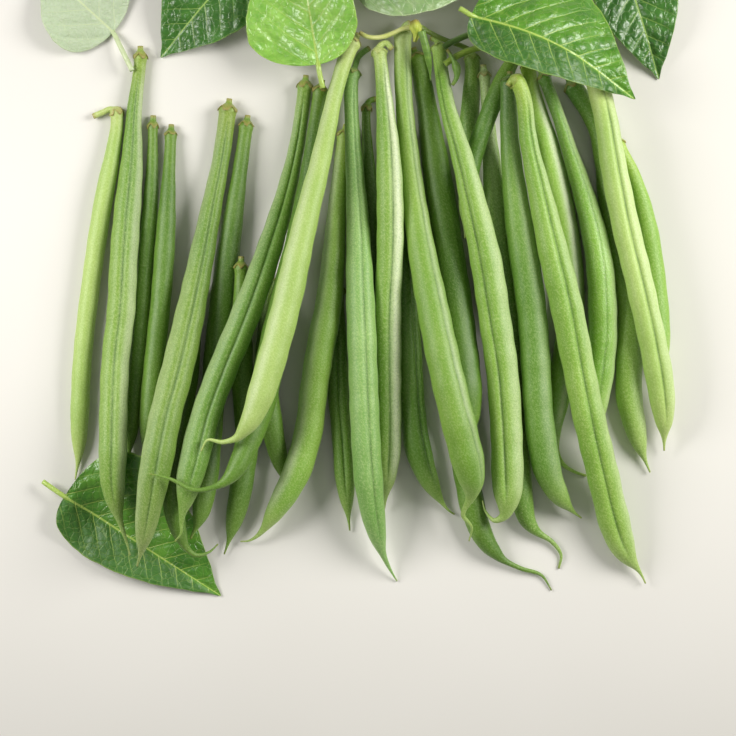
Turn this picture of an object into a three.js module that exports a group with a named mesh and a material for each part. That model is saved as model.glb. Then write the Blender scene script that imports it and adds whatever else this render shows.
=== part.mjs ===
// A bunch of fresh green beans lying on a surface, with the stalks and leaves they were picked with.
// Millimetres, +Z up: X runs across the bunch, +Y points from the pods' tips to their stalks, and z = 0 is
// the surface.
import * as THREE from "three";

// Driving dimensions
const CLEARANCE = 0.35; // space left between two pieces that touch
const POD_SIDES = 9; // corners of a pod's section: a flat side is down, a corner is straight up
const BODY_RINGS = 8; // sections along a pod's body, with more at its shoulders and tail
const GROOVE_DEPTH = 0.16; // how far the seam sinks, as a share of the radius
const GROOVED_RADIUS = 1.2; // only a section wider than this has the seam
const FLATNESS = 0.93; // a pod's height as a share of its width
const TAIL_RADIUS = 0.75; // where the tail leaves the body
const TIP_RADIUS = 0.4; // at the tail's end
const STEM_RADIUS = 0.8; // of the short stalk that some pods keep above their knob
const KNOB_SWELL = 0.2; // how far the knob stands out, as a share of half the pod's width
const KNOB_CENTRE = 0.8; // from the stem's end
const KNOB_LENGTH = 1.6;
const DOME_LENGTH = 2.4; // over which the stalk end rounds out from the stem
const NECK_START = 3; // from the stem's end, where the even sections begin
const SHOULDER_STATIONS = [0.35, 0.65, 0.85, 1]; // where sections lie, as shares of a shoulder
const TAIL_STATIONS = [0.35, 0.7, 1];
const POD_SAG = 0.011; // how sharply a pod bends down from what carries it, per mm
const STALK_SIDES = 6;
const STALK_SAG = 0.03;
const STALK_RING_STEP = 2.5;
const KNOT_LENGTH = 2;
const BLADE_THICKNESS = 0.8;
const BLADE_SAG = 0.02;
const BLADE_REACH = 3.2; // about half a face of a blade, whose points clear all that lies this near
const BLADE_START = 0.04; // the first section, as a share of the midrib
const BLADE_END = 0.99;
const LEAF_STALK_STATIONS = [0, 0.33, 0.66, 0.92];
const BLADE_CUP = 1.1; // how far a blade's sides rise from its midrib
const LEAF_STALK_RADIUS = 0.7;
const BLADE_ROWS = 8; // sections from a leaf's base to its tip
const BLADE_COLUMNS = 7; // points across one face of a leaf
const SAMPLE_STEP = 1.2; // spacing of the points by which pieces are laid on each other

// Finishes
const FINISHES = {
  light: { color: 0x9cc765, roughness: 0.5 },
  mid: { color: 0x6fa53c, roughness: 0.5 },
  dark: { color: 0x4a7524, roughness: 0.5 },
  pale: { color: 0xc3d692, roughness: 0.55 },
  blue: { color: 0x6caa58, roughness: 0.5 },
  stalk: { color: 0xb3bd5c, roughness: 0.6 },
  leaf: { color: 0x3f7a2b, roughness: 0.45 },
};
const materials = {};
for (const [name, look] of Object.entries(FINISHES))
  materials[name] = new THREE.MeshStandardMaterial({ ...look, metalness: 0 });

// Pods, from the lowest to the highest. width: across the body; neck: width at the stalk end as a share of
// it; full: length from the stalk end to the full width; shoulder: length over which the body closes; tail:
// its length; stem: length of the short stalk kept above the knob; seam: the corner that sinks, counted
// from straight up towards +X; path: from the stalk end to the tail's end.
const POD_USUAL = { kind: "pod", seam: 3, neck: 0.5, stem: 1.6 };
const pod = (name, shade, shape, path) => ({ ...POD_USUAL, name, shade, path, ...shape });
// Stalks: tubes with a radius at each end, and a swollen knot at a share of their length.
const STALK_USUAL = { kind: "stalk", shade: "stalk", knot: 0, knotAt: 0.5 };
const stalk = (name, shape, path) => ({ ...STALK_USUAL, name, path, ...shape });
// Leaves: the midrib from the base to the tip, the half widths on its left and right, how far along the blade
// is widest (a power of its length: the less, the nearer to the base), how high it arches, how far the midrib
// bows to the left, and its stalk's path.
const LEAF_USUAL = { kind: "leaf", shade: "leaf", arch: 1, bulge: 0.62, bow: 0 };
const leaf = (name, shape) => ({ ...LEAF_USUAL, name, ...shape });

const PIECES = [
  // The lowest layer
  pod("pod_02", "pale", { width: 5.4, neck: 0.6, full: 25, shoulder: 12, tail: 6, stem: 6 }, [
    [-75.5, 50.8], [-72.5, 52], [-70, 52.8], [-68.9, 50.5], [-69.2, 47], [-70, 40.5], [-72.5, 27], [-75, 11],
    [-78, -13.5], [-79, -32], [-79.5, -43], [-80.5, -49],
  ]),
  pod("pod_03", "dark", { width: 4.9, full: 30, shoulder: 10, tail: 5 }, [
    [-59, 51], [-59.5, 27], [-61, 11], [-62, -3], [-63.5, -19], [-65, -36], [-66, -45],
  ]),
  pod("pod_04", "dark", { width: 5.8, full: 35, shoulder: 12, tail: 5 }, [
    [-54, 48.5], [-55, 21.5], [-56.5, 0], [-58.5, -19], [-60, -37], [-60.5, -47],
  ]),
  leaf("leaf_tips_left", {
    base: [-83, -53.5], tip: [-40.5, -81], left: 21, right: 11, bulge: 0.52,
    stalk: [[-89, -49.5], [-86, -51.5]],
  }),
  pod("pod_09", "dark", { width: 7, full: 45, shoulder: 14, tail: 3 }, [
    [-33, 51], [-35.5, 32.5], [-38.5, 11], [-41, -11], [-42.5, -27], [-43.5, -40.5], [-44.5, -51],
    [-46, -59.5], [-48.5, -65],
  ]),
  pod("pod_10", "dark", { width: 6.3, full: 25, shoulder: 14, tail: 11 }, [
    [-47.5, 6], [-48.5, -13.5], [-50.5, -30], [-52, -43], [-52.5, -54], [-51.5, -62], [-48.5, -68.5],
    [-45.5, -69.5], [-42.5, -68], [-41, -66.5],
  ]),
  pod("pod_05", "light", { width: 8.8, neck: 0.5, full: 80, shoulder: 26, tail: 4, seam: 1 }, [
    [-38, 55.5], [-40, 40.5], [-42.5, 27], [-47.5, 0], [-51, -17.5], [-53.5, -27], [-55.5, -38],
    [-57.5, -48.5], [-59.5, -59.5], [-61, -67], [-62.5, -72],
  ]),
  pod("pod_11", "dark", { width: 6.5, full: 25, shoulder: 12, tail: 5 }, [
    [-34.5, 12], [-34.5, -8], [-34, -24], [-33, -38], [-34, -47], [-35.5, -55.5], [-38, -65], [-39.5, -69.5],
  ]),
  pod("pod_12", "dark", { width: 6.3, full: 20, shoulder: 14, tail: 4 }, [
    [-26.5, 8], [-27.3, -8], [-27.5, -22], [-26.5, -32], [-25, -40], [-23, -48.5], [-22, -52.5],
  ]),
  pod("pod_14", "mid", { width: 5.8, full: 20, shoulder: 12, tail: 5, seam: 0 }, [
    [-8, 6], [-8.5, -12], [-8, -27], [-7, -38], [-6.3, -48.5], [-5.5, -58], [-5, -63],
  ]),
  pod("pod_18", "dark", { width: 4.4, full: 30, shoulder: 10, tail: 4, stem: 3 }, [
    [2.4, 55.6], [0.5, 55.2], [-0.4, 52.5], [0, 40.5], [1, 27], [1.5, 11], [2.5, -8], [3, -20], [3, -28],
  ]),
  pod("pod_21", "mid", { width: 7.4, full: 55, shoulder: 16, tail: 6, seam: 1 }, [
    [8.5, 48.5], [9, 27], [10, 8], [11, -11], [12, -27], [13.2, -38], [16.5, -48.5], [20.5, -55.5],
    [22.5, -57.8], [23.8, -58.6],
  ]),
  pod("pod_24", "dark", { width: 7.2, full: 30, shoulder: 16, tail: 17, seam: 2 }, [
    [21, -3], [22, -13.5], [23.5, -25], [25.5, -38], [27.5, -50], [29.5, -59], [32.5, -66], [36, -70],
    [39.7, -72.9], [45, -74], [48.5, -76], [50.5, -79.5],
  ]),
  pod("pod_22", "dark", { width: 8.4, neck: 0.55, full: 45, shoulder: 14, tail: 4, seam: 5 }, [
    [12.4, 69.5], [13.6, 66], [16, 54], [18, 40.5], [20, 27], [22, 13.5], [24, 0], [25.7, -13.5],
    [27.2, -27], [28, -36], [28.3, -40],
  ]),
  pod("pod_25", "dark", { width: 5.6, neck: 0.68, full: 20, shoulder: 10, tail: 4 }, [
    [28, 69.6], [28.6, 66], [28.6, 61.8], [28.1, 52], [27.8, 46], [28, 35], [29.3, 24], [31, 11],
    [32.5, -3], [33.5, -12],
  ]),
  pod("pod_30", "pale", { width: 6.7, neck: 0.4, full: 45, shoulder: 14, tail: 13 }, [
    [31.5, 64.5], [32, 59.5], [32.5, 54], [33.5, 43], [34.3, 32.5], [35.5, 19], [37.3, 5.5], [39.3, -8],
    [41, -27], [41.3, -40.5], [42, -51], [43.5, -59.5], [46, -63], [49, -65], [52, -67.5], [53.3, -71],
    [52.5, -73.5],
  ]),
  pod("pod_31", "pale", { width: 7.4, full: 30, shoulder: 22, tail: 11, seam: 2 }, [
    [43.5, 67], [44.3, 62], [45.4, 56], [46.9, 51], [49, 43], [51, 34.6], [53, 26.3], [54.4, 18], [55.4, 9.8],
    [55.9, 1.5], [55.5, -6], [54.8, -12], [53.5, -19], [52, -27], [50.8, -34], [50.9, -39], [52.3, -43],
    [54.6, -45.8], [57, -47], [60, -48],
  ]),
  pod("pod_34", "light", { width: 7.4, neck: 0.7, full: 50, shoulder: 16, tail: 5 }, [
    [54.5, 61.5], [56.8, 58], [59.1, 54.7], [62.2, 49.5], [64.3, 43.5], [65.3, 37.5], [66, 30.5], [67.2, 22],
    [69.2, 9.8], [70.9, 1.5], [71.9, -9.7], [71.3, -20.4], [71.6, -26.5], [72.8, -32.4], [74.3, -38.6],
    [75.6, -42.5], [77.5, -47],
  ]),
  pod("pod_35", "pale", { width: 6, full: 30, shoulder: 12, tail: 4 }, [
    [67.2, 45.5], [68.3, 42.8], [69.5, 40.3], [71.3, 37], [74, 30], [76.5, 20], [78.5, 8], [79.8, -4],
    [80.3, -16], [80, -24],
  ]),
  // The middle layer
  pod("pod_32", "light", { width: 7.8, neck: 0.4, full: 65, shoulder: 16, tail: 4, seam: 1 }, [
    [47, 63.5], [48.5, 60], [50.1, 55.3], [51.8, 51], [53, 47], [54.3, 42.9], [56.9, 34.6], [59.6, 26.3],
    [61.5, 18.1], [63, 9.8], [63.7, 1.5], [64.1, -6], [63.9, -14], [63.2, -22], [62.6, -28], [62.4, -33],
    [62.8, -37], [63.5, -40],
  ]),
  pod("pod_33", "light", { width: 7.6, neck: 0.8, full: 40, shoulder: 14, tail: 4, seam: 0 }, [
    [61.5, 63], [62.6, 58], [64.5, 48.5], [65.2, 43], [66.8, 34.6], [68.4, 26.3], [70.2, 18], [72.3, 9.8],
    [74.2, 1.5], [76.8, -9.7], [79, -20], [80.6, -31], [81.2, -41],
  ]),
  pod("pod_26", "dark", { width: 5, neck: 0.7, full: 12, shoulder: 12, tail: 4 }, [
    [41.5, 69.5], [39.7, 65.8], [37.8, 62.2], [35.3, 57], [33, 51], [30.5, 44.5], [28.8, 39], [27.3, 32],
    [26.5, 24], [26.5, 17],
  ]),
  pod("pod_28", "mid", { width: 8.2, full: 52, shoulder: 17, tail: 4 }, [
    [38.3, 61.5], [37.9, 56], [38, 50], [38.3, 43], [39.2, 34.6], [40, 26.3], [41.3, 18], [42.6, 9.8],
    [43.9, 1.5], [45.3, -13.5], [46, -27], [47.3, -38],
    [49.3, -47.5], [52.5, -53.5], [56, -57.5], [58.5, -59.5],
  ]),
  pod("pod_06", "mid", { width: 8, neck: 0.45, full: 70, shoulder: 13, tail: 9, seam: 0 }, [
    [-17, 62], [-18.5, 48.5], [-23, 27], [-30.5, 2.5], [-38, -16], [-42.5, -27], [-46, -40.5], [-48, -48.5],
    [-49, -54], [-50, -58], [-50.5, -63.5], [-52, -65],
  ]),
  pod("pod_13", "light", { width: 7.8, neck: 0.5, full: 60, shoulder: 18, tail: 8 }, [
    [-6, 48.5], [-7.5, 35], [-8.5, 27], [-9, 16], [-10.5, 0], [-12.5, -11], [-14.5, -23], [-16, -35],
    [-19.5, -47], [-25, -57], [-29.5, -63.5], [-32, -65.5], [-35, -66],
  ]),
  pod("pod_23", "light", { width: 8.8, neck: 0.4, full: 72, shoulder: 9, tail: 10, seam: -1, stem: 3 }, [
    [17.3, 72.3], [18.9, 71.4], [19.5, 69], [19.5, 65], [20, 59.5], [21.5, 52.5], [24, 43], [26.5, 34],
    [29, 23], [31.5, 12], [33.5, 0], [35, -11], [36.5, -21.5], [37.3, -32.5], [37.5, -43], [37.8, -51],
    [37.5, -56.5], [36.3, -59.6], [34, -59.7], [32, -57.5], [31.2, -54.5],
  ]),
  pod("pod_29", "light", { width: 8.8, neck: 0.44, full: 62, shoulder: 13, tail: 6, seam: 0 }, [
    [37.4, 57], [38.4, 58.4], [39.8, 58.2], [41, 55.6], [41.6, 51], [43, 43], [44.8, 34.6], [46.8, 26.3],
    [49, 17], [50.8, 8], [53, 0], [55.5, -11], [57.5, -21.5], [60, -32.5], [62.6, -42.5], [65.3, -53],
    [67.3, -60.5], [69, -65.5], [71, -69.7], [73, -72.3], [75, -75], [76.2, -77.5],
  ]),
  pod("pod_20", "light", { width: 9.2, neck: 0.48, full: 100, shoulder: 10, tail: 15, seam: -1, stem: 3 }, [
    [11.5, 76], [10, 75.2], [9.5, 72.5], [9.5, 67.5], [9.5, 62], [10, 51], [11, 40.5], [12.5, 27],
    [14.5, 13.5], [17, 0], [19, -11], [21.5, -21.5], [24, -32.5], [26.5, -42], [28, -50], [27.5, -54],
    [26.5, -57], [25.2, -59.2], [26.5, -60.5], [28, -61.5], [29, -63.5], [27.5, -65.5],
  ]),
  pod("pod_19", "pale", { width: 7.3, neck: 0.45, full: 40, shoulder: 14, tail: 4, seam: 1, stem: 5 }, [
    [6.6, 68.3], [5, 70], [3.4, 69.6], [3.1, 67.5], [3.5, 65], [4, 59.5], [4.5, 54], [5.5, 40.5], [6, 27],
    [6, 13.5], [5.5, 0], [5.5, -13.5], [5.5, -27], [5.5, -38], [5, -51], [4.5, -57],
  ]),
  // The highest layer
  pod("pod_17", "blue", { width: 8, neck: 0.45, full: 75, shoulder: 22, tail: 9, seam: 1, stem: 8 }, [
    [0.3, 69.6], [-1.6, 68.8], [-2.9, 66], [-3.9, 63], [-4.5, 60], [-4.6, 57], [-4.5, 54], [-4, 40.5],
    [-3, 27], [-2.5, 13.5], [-2, 0], [-1.5, -13.5], [-1, -27], [-0.5, -38], [0.5, -51.5], [2.5, -63.5],
    [4, -69], [6, -73.5], [8, -77],
  ]),
  pod("pod_08", "mid", { width: 8, neck: 0.45, full: 70, shoulder: 24, tail: 20 }, [
    [-12.5, 60.5], [-14, 51], [-16, 35], [-19.5, 13.5], [-24.5, -8], [-28.5, -27], [-32.5, -39], [-36, -46.5],
    [-40.5, -50], [-45.5, -51], [-48.5, -50], [-51.5, -48.5], [-54, -47], [-56, -46], [-58, -46.5],
  ]),
  pod("pod_07", "pale", { width: 8, neck: 0.5, full: 80, shoulder: 18, tail: 12 }, [
    [-2.6, 72.8], [-4.2, 69.8], [-5.8, 67], [-7.3, 61.8], [-9.3, 54], [-12.5, 38], [-17, 19], [-22.5, -5.5],
    [-28.5, -26], [-31, -32], [-34, -36], [-36.5, -38], [-39.5, -38], [-42.5, -37.5], [-44, -38.5],
    [-44.5, -40.5],
  ]),
  pod("pod_01", "light", { width: 7.7, neck: 0.4, full: 52, shoulder: 16, tail: 11, seam: 1 }, [
    [-62.5, 70], [-62.5, 66], [-63.5, 59.5], [-64, 54], [-64.5, 40.5], [-65.5, 27], [-66.5, 13.5], [-67, 0],
    [-68.5, -13.5], [-69, -27], [-69, -40.5], [-69, -51], [-67.5, -59.5], [-66, -65], [-65, -69.5],
  ]),
  // The stalks and leaves at the stalk end
  stalk("flower_stalk", { start: 0.62, end: 0.7, knot: 0.3, knotAt: 0.5 }, [
    [-2.3, 72.7], [-0.3, 71.6], [2.5, 71.3], [5.2, 71.8], [8, 73], [10.4, 73.9], [12.5, 74.1], [14.6, 74],
    [16.9, 72.7], [20.2, 71.3], [23.1, 70.3], [25.1, 69.7], [27.6, 68.7],
  ]),
  stalk("flower_bracts", { start: 0.7, end: 0.4, knot: 0.9, knotAt: 0.35 }, [
    [12.4, 75.8], [12.9, 74], [13.2, 72], [12.6, 69.8],
  ]),
  stalk("side_stalk", { start: 1.1, end: 0.8 }, [
    [14.4, 72.3], [15.2, 69.5], [16.1, 66], [16.7, 62.5], [17, 59.5],
  ]),
  stalk("leaf_stalk_dark", { start: 0.8, end: 0.9 }, [[20.5, 68.9], [22.7, 70.2], [28.9, 72.9], [34, 74.5]]),
  stalk("leaf_stalk_bright", { start: 0.9, end: 0.9 }, [
    [20.8, 64], [23.1, 65.7], [26.2, 67.4], [29.3, 68.6], [33, 69.4], [37, 69.3],
  ]),
  stalk("flower_bud", { start: 0.5, end: 0.45, knot: 0.7, knotAt: 0.55 }, [
    [21.5, 67.8], [23.6, 64], [24.2, 61], [22.7, 58],
  ]),
  leaf("leaf_far_left", {
    base: [-70, 74], tip: [-90, 92], left: 13, right: 13, arch: 3, stalk: [[-64.5, 63], [-67, 68]],
  }),
  leaf("leaf_far_right", {
    base: [68, 98], tip: [80, 61], left: 12, right: 11, arch: 4, stalk: [[65, 106], [66.5, 102]],
  }),
  leaf("leaf_top_left", {
    base: [-32, 96], tip: [-57, 67], left: 13, right: 14, arch: 4, stalk: [[-26, 101], [-29, 98.5]],
  }),
  leaf("leaf_top_middle", {
    base: [-4, 89.5], tip: [32, 85], left: 12, right: 12, arch: 2, stalk: [[-11, 90.5], [-8, 90]],
  }),
  leaf("leaf_top_centre", {
    base: [-13.5, 63.7], tip: [-19.4, 100], left: 17.8, right: 12.4, arch: 2,
    stalk: [[-12.2, 57.5], [-13, 60.8]],
  }),
  leaf("leaf_top_right", {
    base: [27.5, 76], tip: [72, 54], left: 20.5, right: 10, bulge: 0.56, bow: 3,
    stalk: [[24.5, 77.9], [26, 77]],
  }),
];

// A smooth line through hand-placed points, cut into equal steps.
function smoothLine(points, step) {
  const route = points.map(([x, y]) => new THREE.Vector3(x, y, 0));
  const curve = new THREE.CatmullRomCurve3(route, false, "centripetal");
  curve.arcLengthDivisions = 400;
  const count = Math.max(2, Math.round(curve.getLength() / step));
  return { length: curve.getLength(), points: curve.getSpacedPoints(count) };
}

const smoothstep = (t) => THREE.MathUtils.smoothstep(t, 0, 1);

// The radius of a pod at the distance s from its stalk end: stem, knob, slim neck, body, shoulders and tail.
function podRadius(piece, length, s) {
  if (s < piece.stem) return STEM_RADIUS;
  const half = piece.width / 2;
  const bodyEnd = length - piece.tail;
  const grown = piece.neck + (1 - piece.neck) * smoothstep((s - piece.stem) / piece.full);
  const knob = KNOB_SWELL * Math.exp(-(((s - piece.stem - KNOB_CENTRE) / KNOB_LENGTH) ** 2));
  const dome = Math.min(1, (s - piece.stem) / DOME_LENGTH);
  const body = STEM_RADIUS + (half * (grown + knob) - STEM_RADIUS) * Math.sqrt(1 - (1 - dome) ** 2);
  if (s <= bodyEnd - piece.shoulder) return body;
  if (s <= bodyEnd) {
    const t = (s - bodyEnd + piece.shoulder) / piece.shoulder;
    return TAIL_RADIUS + (body - TAIL_RADIUS) * Math.sqrt(Math.max(0, 1 - t ** 2.2)) * (1 - 0.25 * t);
  }
  return THREE.MathUtils.lerp(TAIL_RADIUS, TIP_RADIUS, (s - bodyEnd) / piece.tail);
}

function stalkRadius(piece, length, s) {
  const knot = piece.knot * Math.exp(-(((s - piece.knotAt * length) / KNOT_LENGTH) ** 2));
  return THREE.MathUtils.lerp(piece.start, piece.end, s / length) + knot;
}

// What has been laid so far, as balls { x, y, z, r } that later pieces rest on.
const laid = [];

// The lowest height at which a ball of radius r clears what lies under it and the surface.
function restHeight(x, y, r, floor) {
  let z = floor;
  for (const ball of laid) {
    const reach = r + ball.r + CLEARANCE;
    const dx = x - ball.x;
    const dy = y - ball.y;
    const apart = dx * dx + dy * dy;
    if (apart < reach * reach) z = Math.max(z, ball.z + Math.sqrt(reach * reach - apart));
  }
  return z;
}

// Heights along a line: what each point needs, spread as gentle bends, then smoothed without sinking.
function drape(needs, step, sag) {
  const held = needs.map((_, i) => Math.max(...needs.map((need, k) => need - sag * ((i - k) * step) ** 2)));
  const heights = held.slice();
  for (let sweep = 0; sweep < 60; sweep += 1)
    for (let i = 1; i < heights.length - 1; i += 1)
      heights[i] = Math.max(held[i], (heights[i - 1] + heights[i + 1]) / 2);
  return heights;
}

// A closed surface through rings of equal corner counts, its ends closed by a point each.
// From the ring corner `half` on, squares are split the other way, so a blade's two faces are split alike.
function loft(rings, half = Infinity) {
  const corners = rings[0].length;
  const positions = [];
  const centres = [rings[0], rings.at(-1)].map((ring) =>
    ring.reduce((sum, p) => sum.add(p), new THREE.Vector3()).divideScalar(corners),
  );
  for (const p of [...rings.flat(), ...centres]) positions.push(p.x, p.y, p.z);
  const index = [];
  for (let i = 0; i < rings.length - 1; i += 1)
    for (let j = 0; j < corners; j += 1) {
      const a = i * corners + j;
      const b = i * corners + ((j + 1) % corners);
      const c = a + corners;
      const d = b + corners;
      if (j < half) index.push(a, b, d, a, d, c);
      else index.push(a, b, c, b, d, c);
    }
  const first = rings.length * corners;
  const last = (rings.length - 1) * corners;
  for (let j = 0; j < corners; j += 1) {
    const next = (j + 1) % corners;
    index.push(first, next, j);
    index.push(first + 1, last + j, last + next);
  }
  const geometry = new THREE.BufferGeometry();
  geometry.setAttribute("position", new THREE.Float32BufferAttribute(positions, 3));
  geometry.setIndex(index);
  geometry.computeVertexNormals();
  return geometry;
}

// Sections upright across a line: `section` gives a ring's corners as [across, up] for a radius, and `depth`
// is how far they reach below the line, as a share of it.
function sweep(line, heights, stations, radiusAt, depth, section) {
  const step = line.length / (line.points.length - 1);
  const at = (s) => {
    const t = Math.min(Math.max(s / step, 0), line.points.length - 1);
    const i = Math.min(Math.floor(t), line.points.length - 2);
    const p = line.points[i].clone().lerp(line.points[i + 1], t - i);
    return p.setZ(THREE.MathUtils.lerp(heights[i], heights[i + 1], t - i));
  };
  return stations.map((s) => {
    const centre = at(s);
    centre.setZ(Math.max(centre.z, radiusAt(s) * depth));
    const along = at(s + step).sub(at(s - step)).normalize();
    const across = new THREE.Vector3(along.y, -along.x, 0).normalize();
    const up = across.clone().cross(along);
    if (up.z < 0) throw new Error("a line stands on end");
    const corner = ([u, v]) => centre.clone().addScaledVector(across, -u).addScaledVector(up, v);
    return section(radiusAt(s)).map(corner);
  });
}

// A pod's section: a flat side down, and one corner sunk as the seam between its two halves.
function podSection(r, seam) {
  const turn = (2 * Math.PI) / POD_SIDES;
  return Array.from({ length: POD_SIDES }, (_, j) => {
    const sunk = (j + seam + POD_SIDES) % POD_SIDES === 0 && r > GROOVED_RADIUS ? 1 - GROOVE_DEPTH : 1;
    return [-Math.sin(j * turn) * r * sunk, Math.cos(j * turn) * r * sunk * FLATNESS];
  });
}
const FLAT_SIDE = Math.cos(Math.PI / POD_SIDES) * FLATNESS; // from a section's middle down to its flat side

function podMesh(piece) {
  const line = smoothLine(piece.path, SAMPLE_STEP);
  const step = line.length / (line.points.length - 1);
  const radii = line.points.map((_, i) => podRadius(piece, line.length, i * step));
  const needs = line.points.map((p, i) => restHeight(p.x, p.y, radii[i], radii[i] * FLAT_SIDE));
  const heights = drape(needs, step, POD_SAG);
  line.points.forEach((p, i) => laid.push({ x: p.x, y: p.y, z: heights[i], r: radii[i] }));
  const bodyEnd = line.length - piece.tail;
  const shoulderStart = bodyEnd - piece.shoulder;
  const neckStart = piece.stem + NECK_START;
  const stations = piece.stem > 2 ? [0, piece.stem * 0.5, piece.stem * 0.9] : [0, piece.stem * 0.9];
  stations.push(piece.stem + 1.2, neckStart);
  const bodyStep = (shoulderStart - neckStart) / BODY_RINGS;
  for (let i = 1; i <= BODY_RINGS; i += 1) stations.push(neckStart + i * bodyStep);
  for (const t of SHOULDER_STATIONS) stations.push(shoulderStart + t * piece.shoulder);
  for (const t of TAIL_STATIONS) stations.push(bodyEnd + t * piece.tail);
  const rings = sweep(line, heights, stations, (s) => podRadius(piece, line.length, s), FLAT_SIDE,
    (r) => podSection(r, piece.seam));
  return loft(rings);
}

function stalkMesh(piece) {
  const line = smoothLine(piece.path, SAMPLE_STEP);
  const step = line.length / (line.points.length - 1);
  const radii = line.points.map((_, i) => stalkRadius(piece, line.length, i * step));
  const needs = line.points.map((p, i) => restHeight(p.x, p.y, radii[i], radii[i]));
  const heights = drape(needs, step, STALK_SAG);
  line.points.forEach((p, i) => laid.push({ x: p.x, y: p.y, z: heights[i], r: radii[i] }));
  const count = Math.max(3, Math.round(line.length / STALK_RING_STEP));
  const stations = Array.from({ length: count + 1 }, (_, i) => (line.length * i) / count);
  const turn = (2 * Math.PI) / STALK_SIDES;
  const rings = sweep(line, heights, stations, (s) => stalkRadius(piece, line.length, s), 1, (r) =>
    Array.from({ length: STALK_SIDES }, (_, j) => [-Math.sin(j * turn) * r, Math.cos(j * turn) * r]));
  return loft(rings);
}

// The half width of a blade, as a share, at u from base to tip: rounded at the base, drawn out at the tip.
const bladeWidth = (u, bulge) =>
  Math.sin(Math.PI * u ** bulge) ** 0.75 * (1 - 0.25 * smoothstep((u - 0.6) / 0.4));

function leafMesh(piece) {
  const base = new THREE.Vector2(...piece.base);
  const tip = new THREE.Vector2(...piece.tip);
  const along = tip.clone().sub(base);
  const left = new THREE.Vector2(-along.y, along.x).normalize();
  const middle = (BLADE_COLUMNS - 1) / 2;
  const rows = Array.from({ length: BLADE_ROWS }, (_, i) => {
    const u = THREE.MathUtils.lerp(BLADE_START, BLADE_END, i / (BLADE_ROWS - 1));
    const spine = base.clone().addScaledVector(along, u);
    spine.addScaledVector(left, piece.bow * Math.sin(Math.PI * u));
    return Array.from({ length: BLADE_COLUMNS }, (_, j) => {
      const v = (middle - j) / middle;
      const reach = (v > 0 ? piece.left : piece.right) * bladeWidth(u, piece.bulge);
      return { x: spine.x + left.x * v * reach, y: spine.y + left.y * v * reach, u, v };
    });
  });
  const need = (p) => {
    let z = BLADE_THICKNESS / 2;
    for (const ball of laid) {
      const apart = Math.max(0, Math.hypot(p.x - ball.x, p.y - ball.y) - BLADE_REACH);
      if (apart >= ball.r) continue;
      const crest = Math.sqrt(ball.r * ball.r - apart * apart);
      z = Math.max(z, ball.z + crest + BLADE_THICKNESS / 2 + CLEARANCE);
    }
    return z;
  };
  const points = rows.flat();
  for (const p of points) p.need = need(p);
  for (const p of points)
    p.held = Math.max(...points.map((q) => q.need - BLADE_SAG * ((p.x - q.x) ** 2 + (p.y - q.y) ** 2)));
  const rise = (p) => (BLADE_CUP * Math.abs(p.v) ** 0.8 + piece.arch) * Math.sin(Math.PI * p.u);
  for (const p of points) p.z = p.held + rise(p);
  const root = Math.max(...rows[0].map((p) => p.z));
  for (const p of rows[0]) p.z = root;
  const faces = [1, -1].map((side) =>
    rows.map((row) => row.map((p) => new THREE.Vector3(p.x, p.y, p.z + (side * BLADE_THICKNESS) / 2))),
  );
  const bladeRings = rows.map((_, i) => [...faces[0][i], ...faces[1][i].slice().reverse()]);
  // The leaf stalk's sections have as many corners as the blade's, so that one surface runs through both.
  const corners = BLADE_COLUMNS * 2;
  const stem = smoothLine([...piece.stalk, piece.base], SAMPLE_STEP);
  const stemStep = stem.length / (stem.points.length - 1);
  const stemNeeds = stem.points.map((p) => restHeight(p.x, p.y, LEAF_STALK_RADIUS, LEAF_STALK_RADIUS));
  stemNeeds[stemNeeds.length - 1] = root;
  const stemHeights = drape(stemNeeds, stemStep, BLADE_SAG);
  const stemStations = LEAF_STALK_STATIONS.map((t) => t * stem.length);
  const stemRings = sweep(stem, stemHeights, stemStations, () => LEAF_STALK_RADIUS, 1, (r) =>
    Array.from({ length: corners }, (_, j) => {
      const angle = (Math.PI * (j + 0.5)) / BLADE_COLUMNS;
      return [Math.cos(angle) * r, Math.sin(angle) * r];
    }));
  for (const p of points) laid.push({ x: p.x, y: p.y, z: p.z, r: BLADE_THICKNESS / 2 });
  for (let i = 0; i < rows.length - 1; i += 1)
    for (let j = 0; j < BLADE_COLUMNS - 1; j += 1)
      for (const [a, b] of [[0.33, 0.33], [0.33, 0.67], [0.67, 0.33], [0.67, 0.67], [0.5, 0], [0, 0.5]]) {
        const [p, q, r, s] = [rows[i][j], rows[i][j + 1], rows[i + 1][j], rows[i + 1][j + 1]];
        const mix = (key) =>
          (1 - a) * ((1 - b) * p[key] + b * q[key]) + a * ((1 - b) * r[key] + b * s[key]);
        laid.push({ x: mix("x"), y: mix("y"), z: mix("z"), r: BLADE_THICKNESS / 2 + 0.15 });
      }
  stem.points.forEach((p, i) => laid.push({ x: p.x, y: p.y, z: stemHeights[i], r: LEAF_STALK_RADIUS }));
  return loft([...stemRings, ...bladeRings], BLADE_COLUMNS);
}

const BUILDERS = { pod: podMesh, stalk: stalkMesh, leaf: leafMesh };
const bunch = new THREE.Group();
for (const piece of PIECES) {
  const mesh = new THREE.Mesh(BUILDERS[piece.kind](piece), materials[piece.shade]);
  mesh.name = piece.name;
  bunch.add(mesh);
}
// The origin is on the surface, under the middle of the bunch.
const middle = new THREE.Box3().setFromObject(bunch).getCenter(new THREE.Vector3());
bunch.position.set(-middle.x, -middle.y, 0);
export default bunch;
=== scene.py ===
import math
import random

import bmesh
import bpy
import numpy as np
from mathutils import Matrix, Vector, noise


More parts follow.
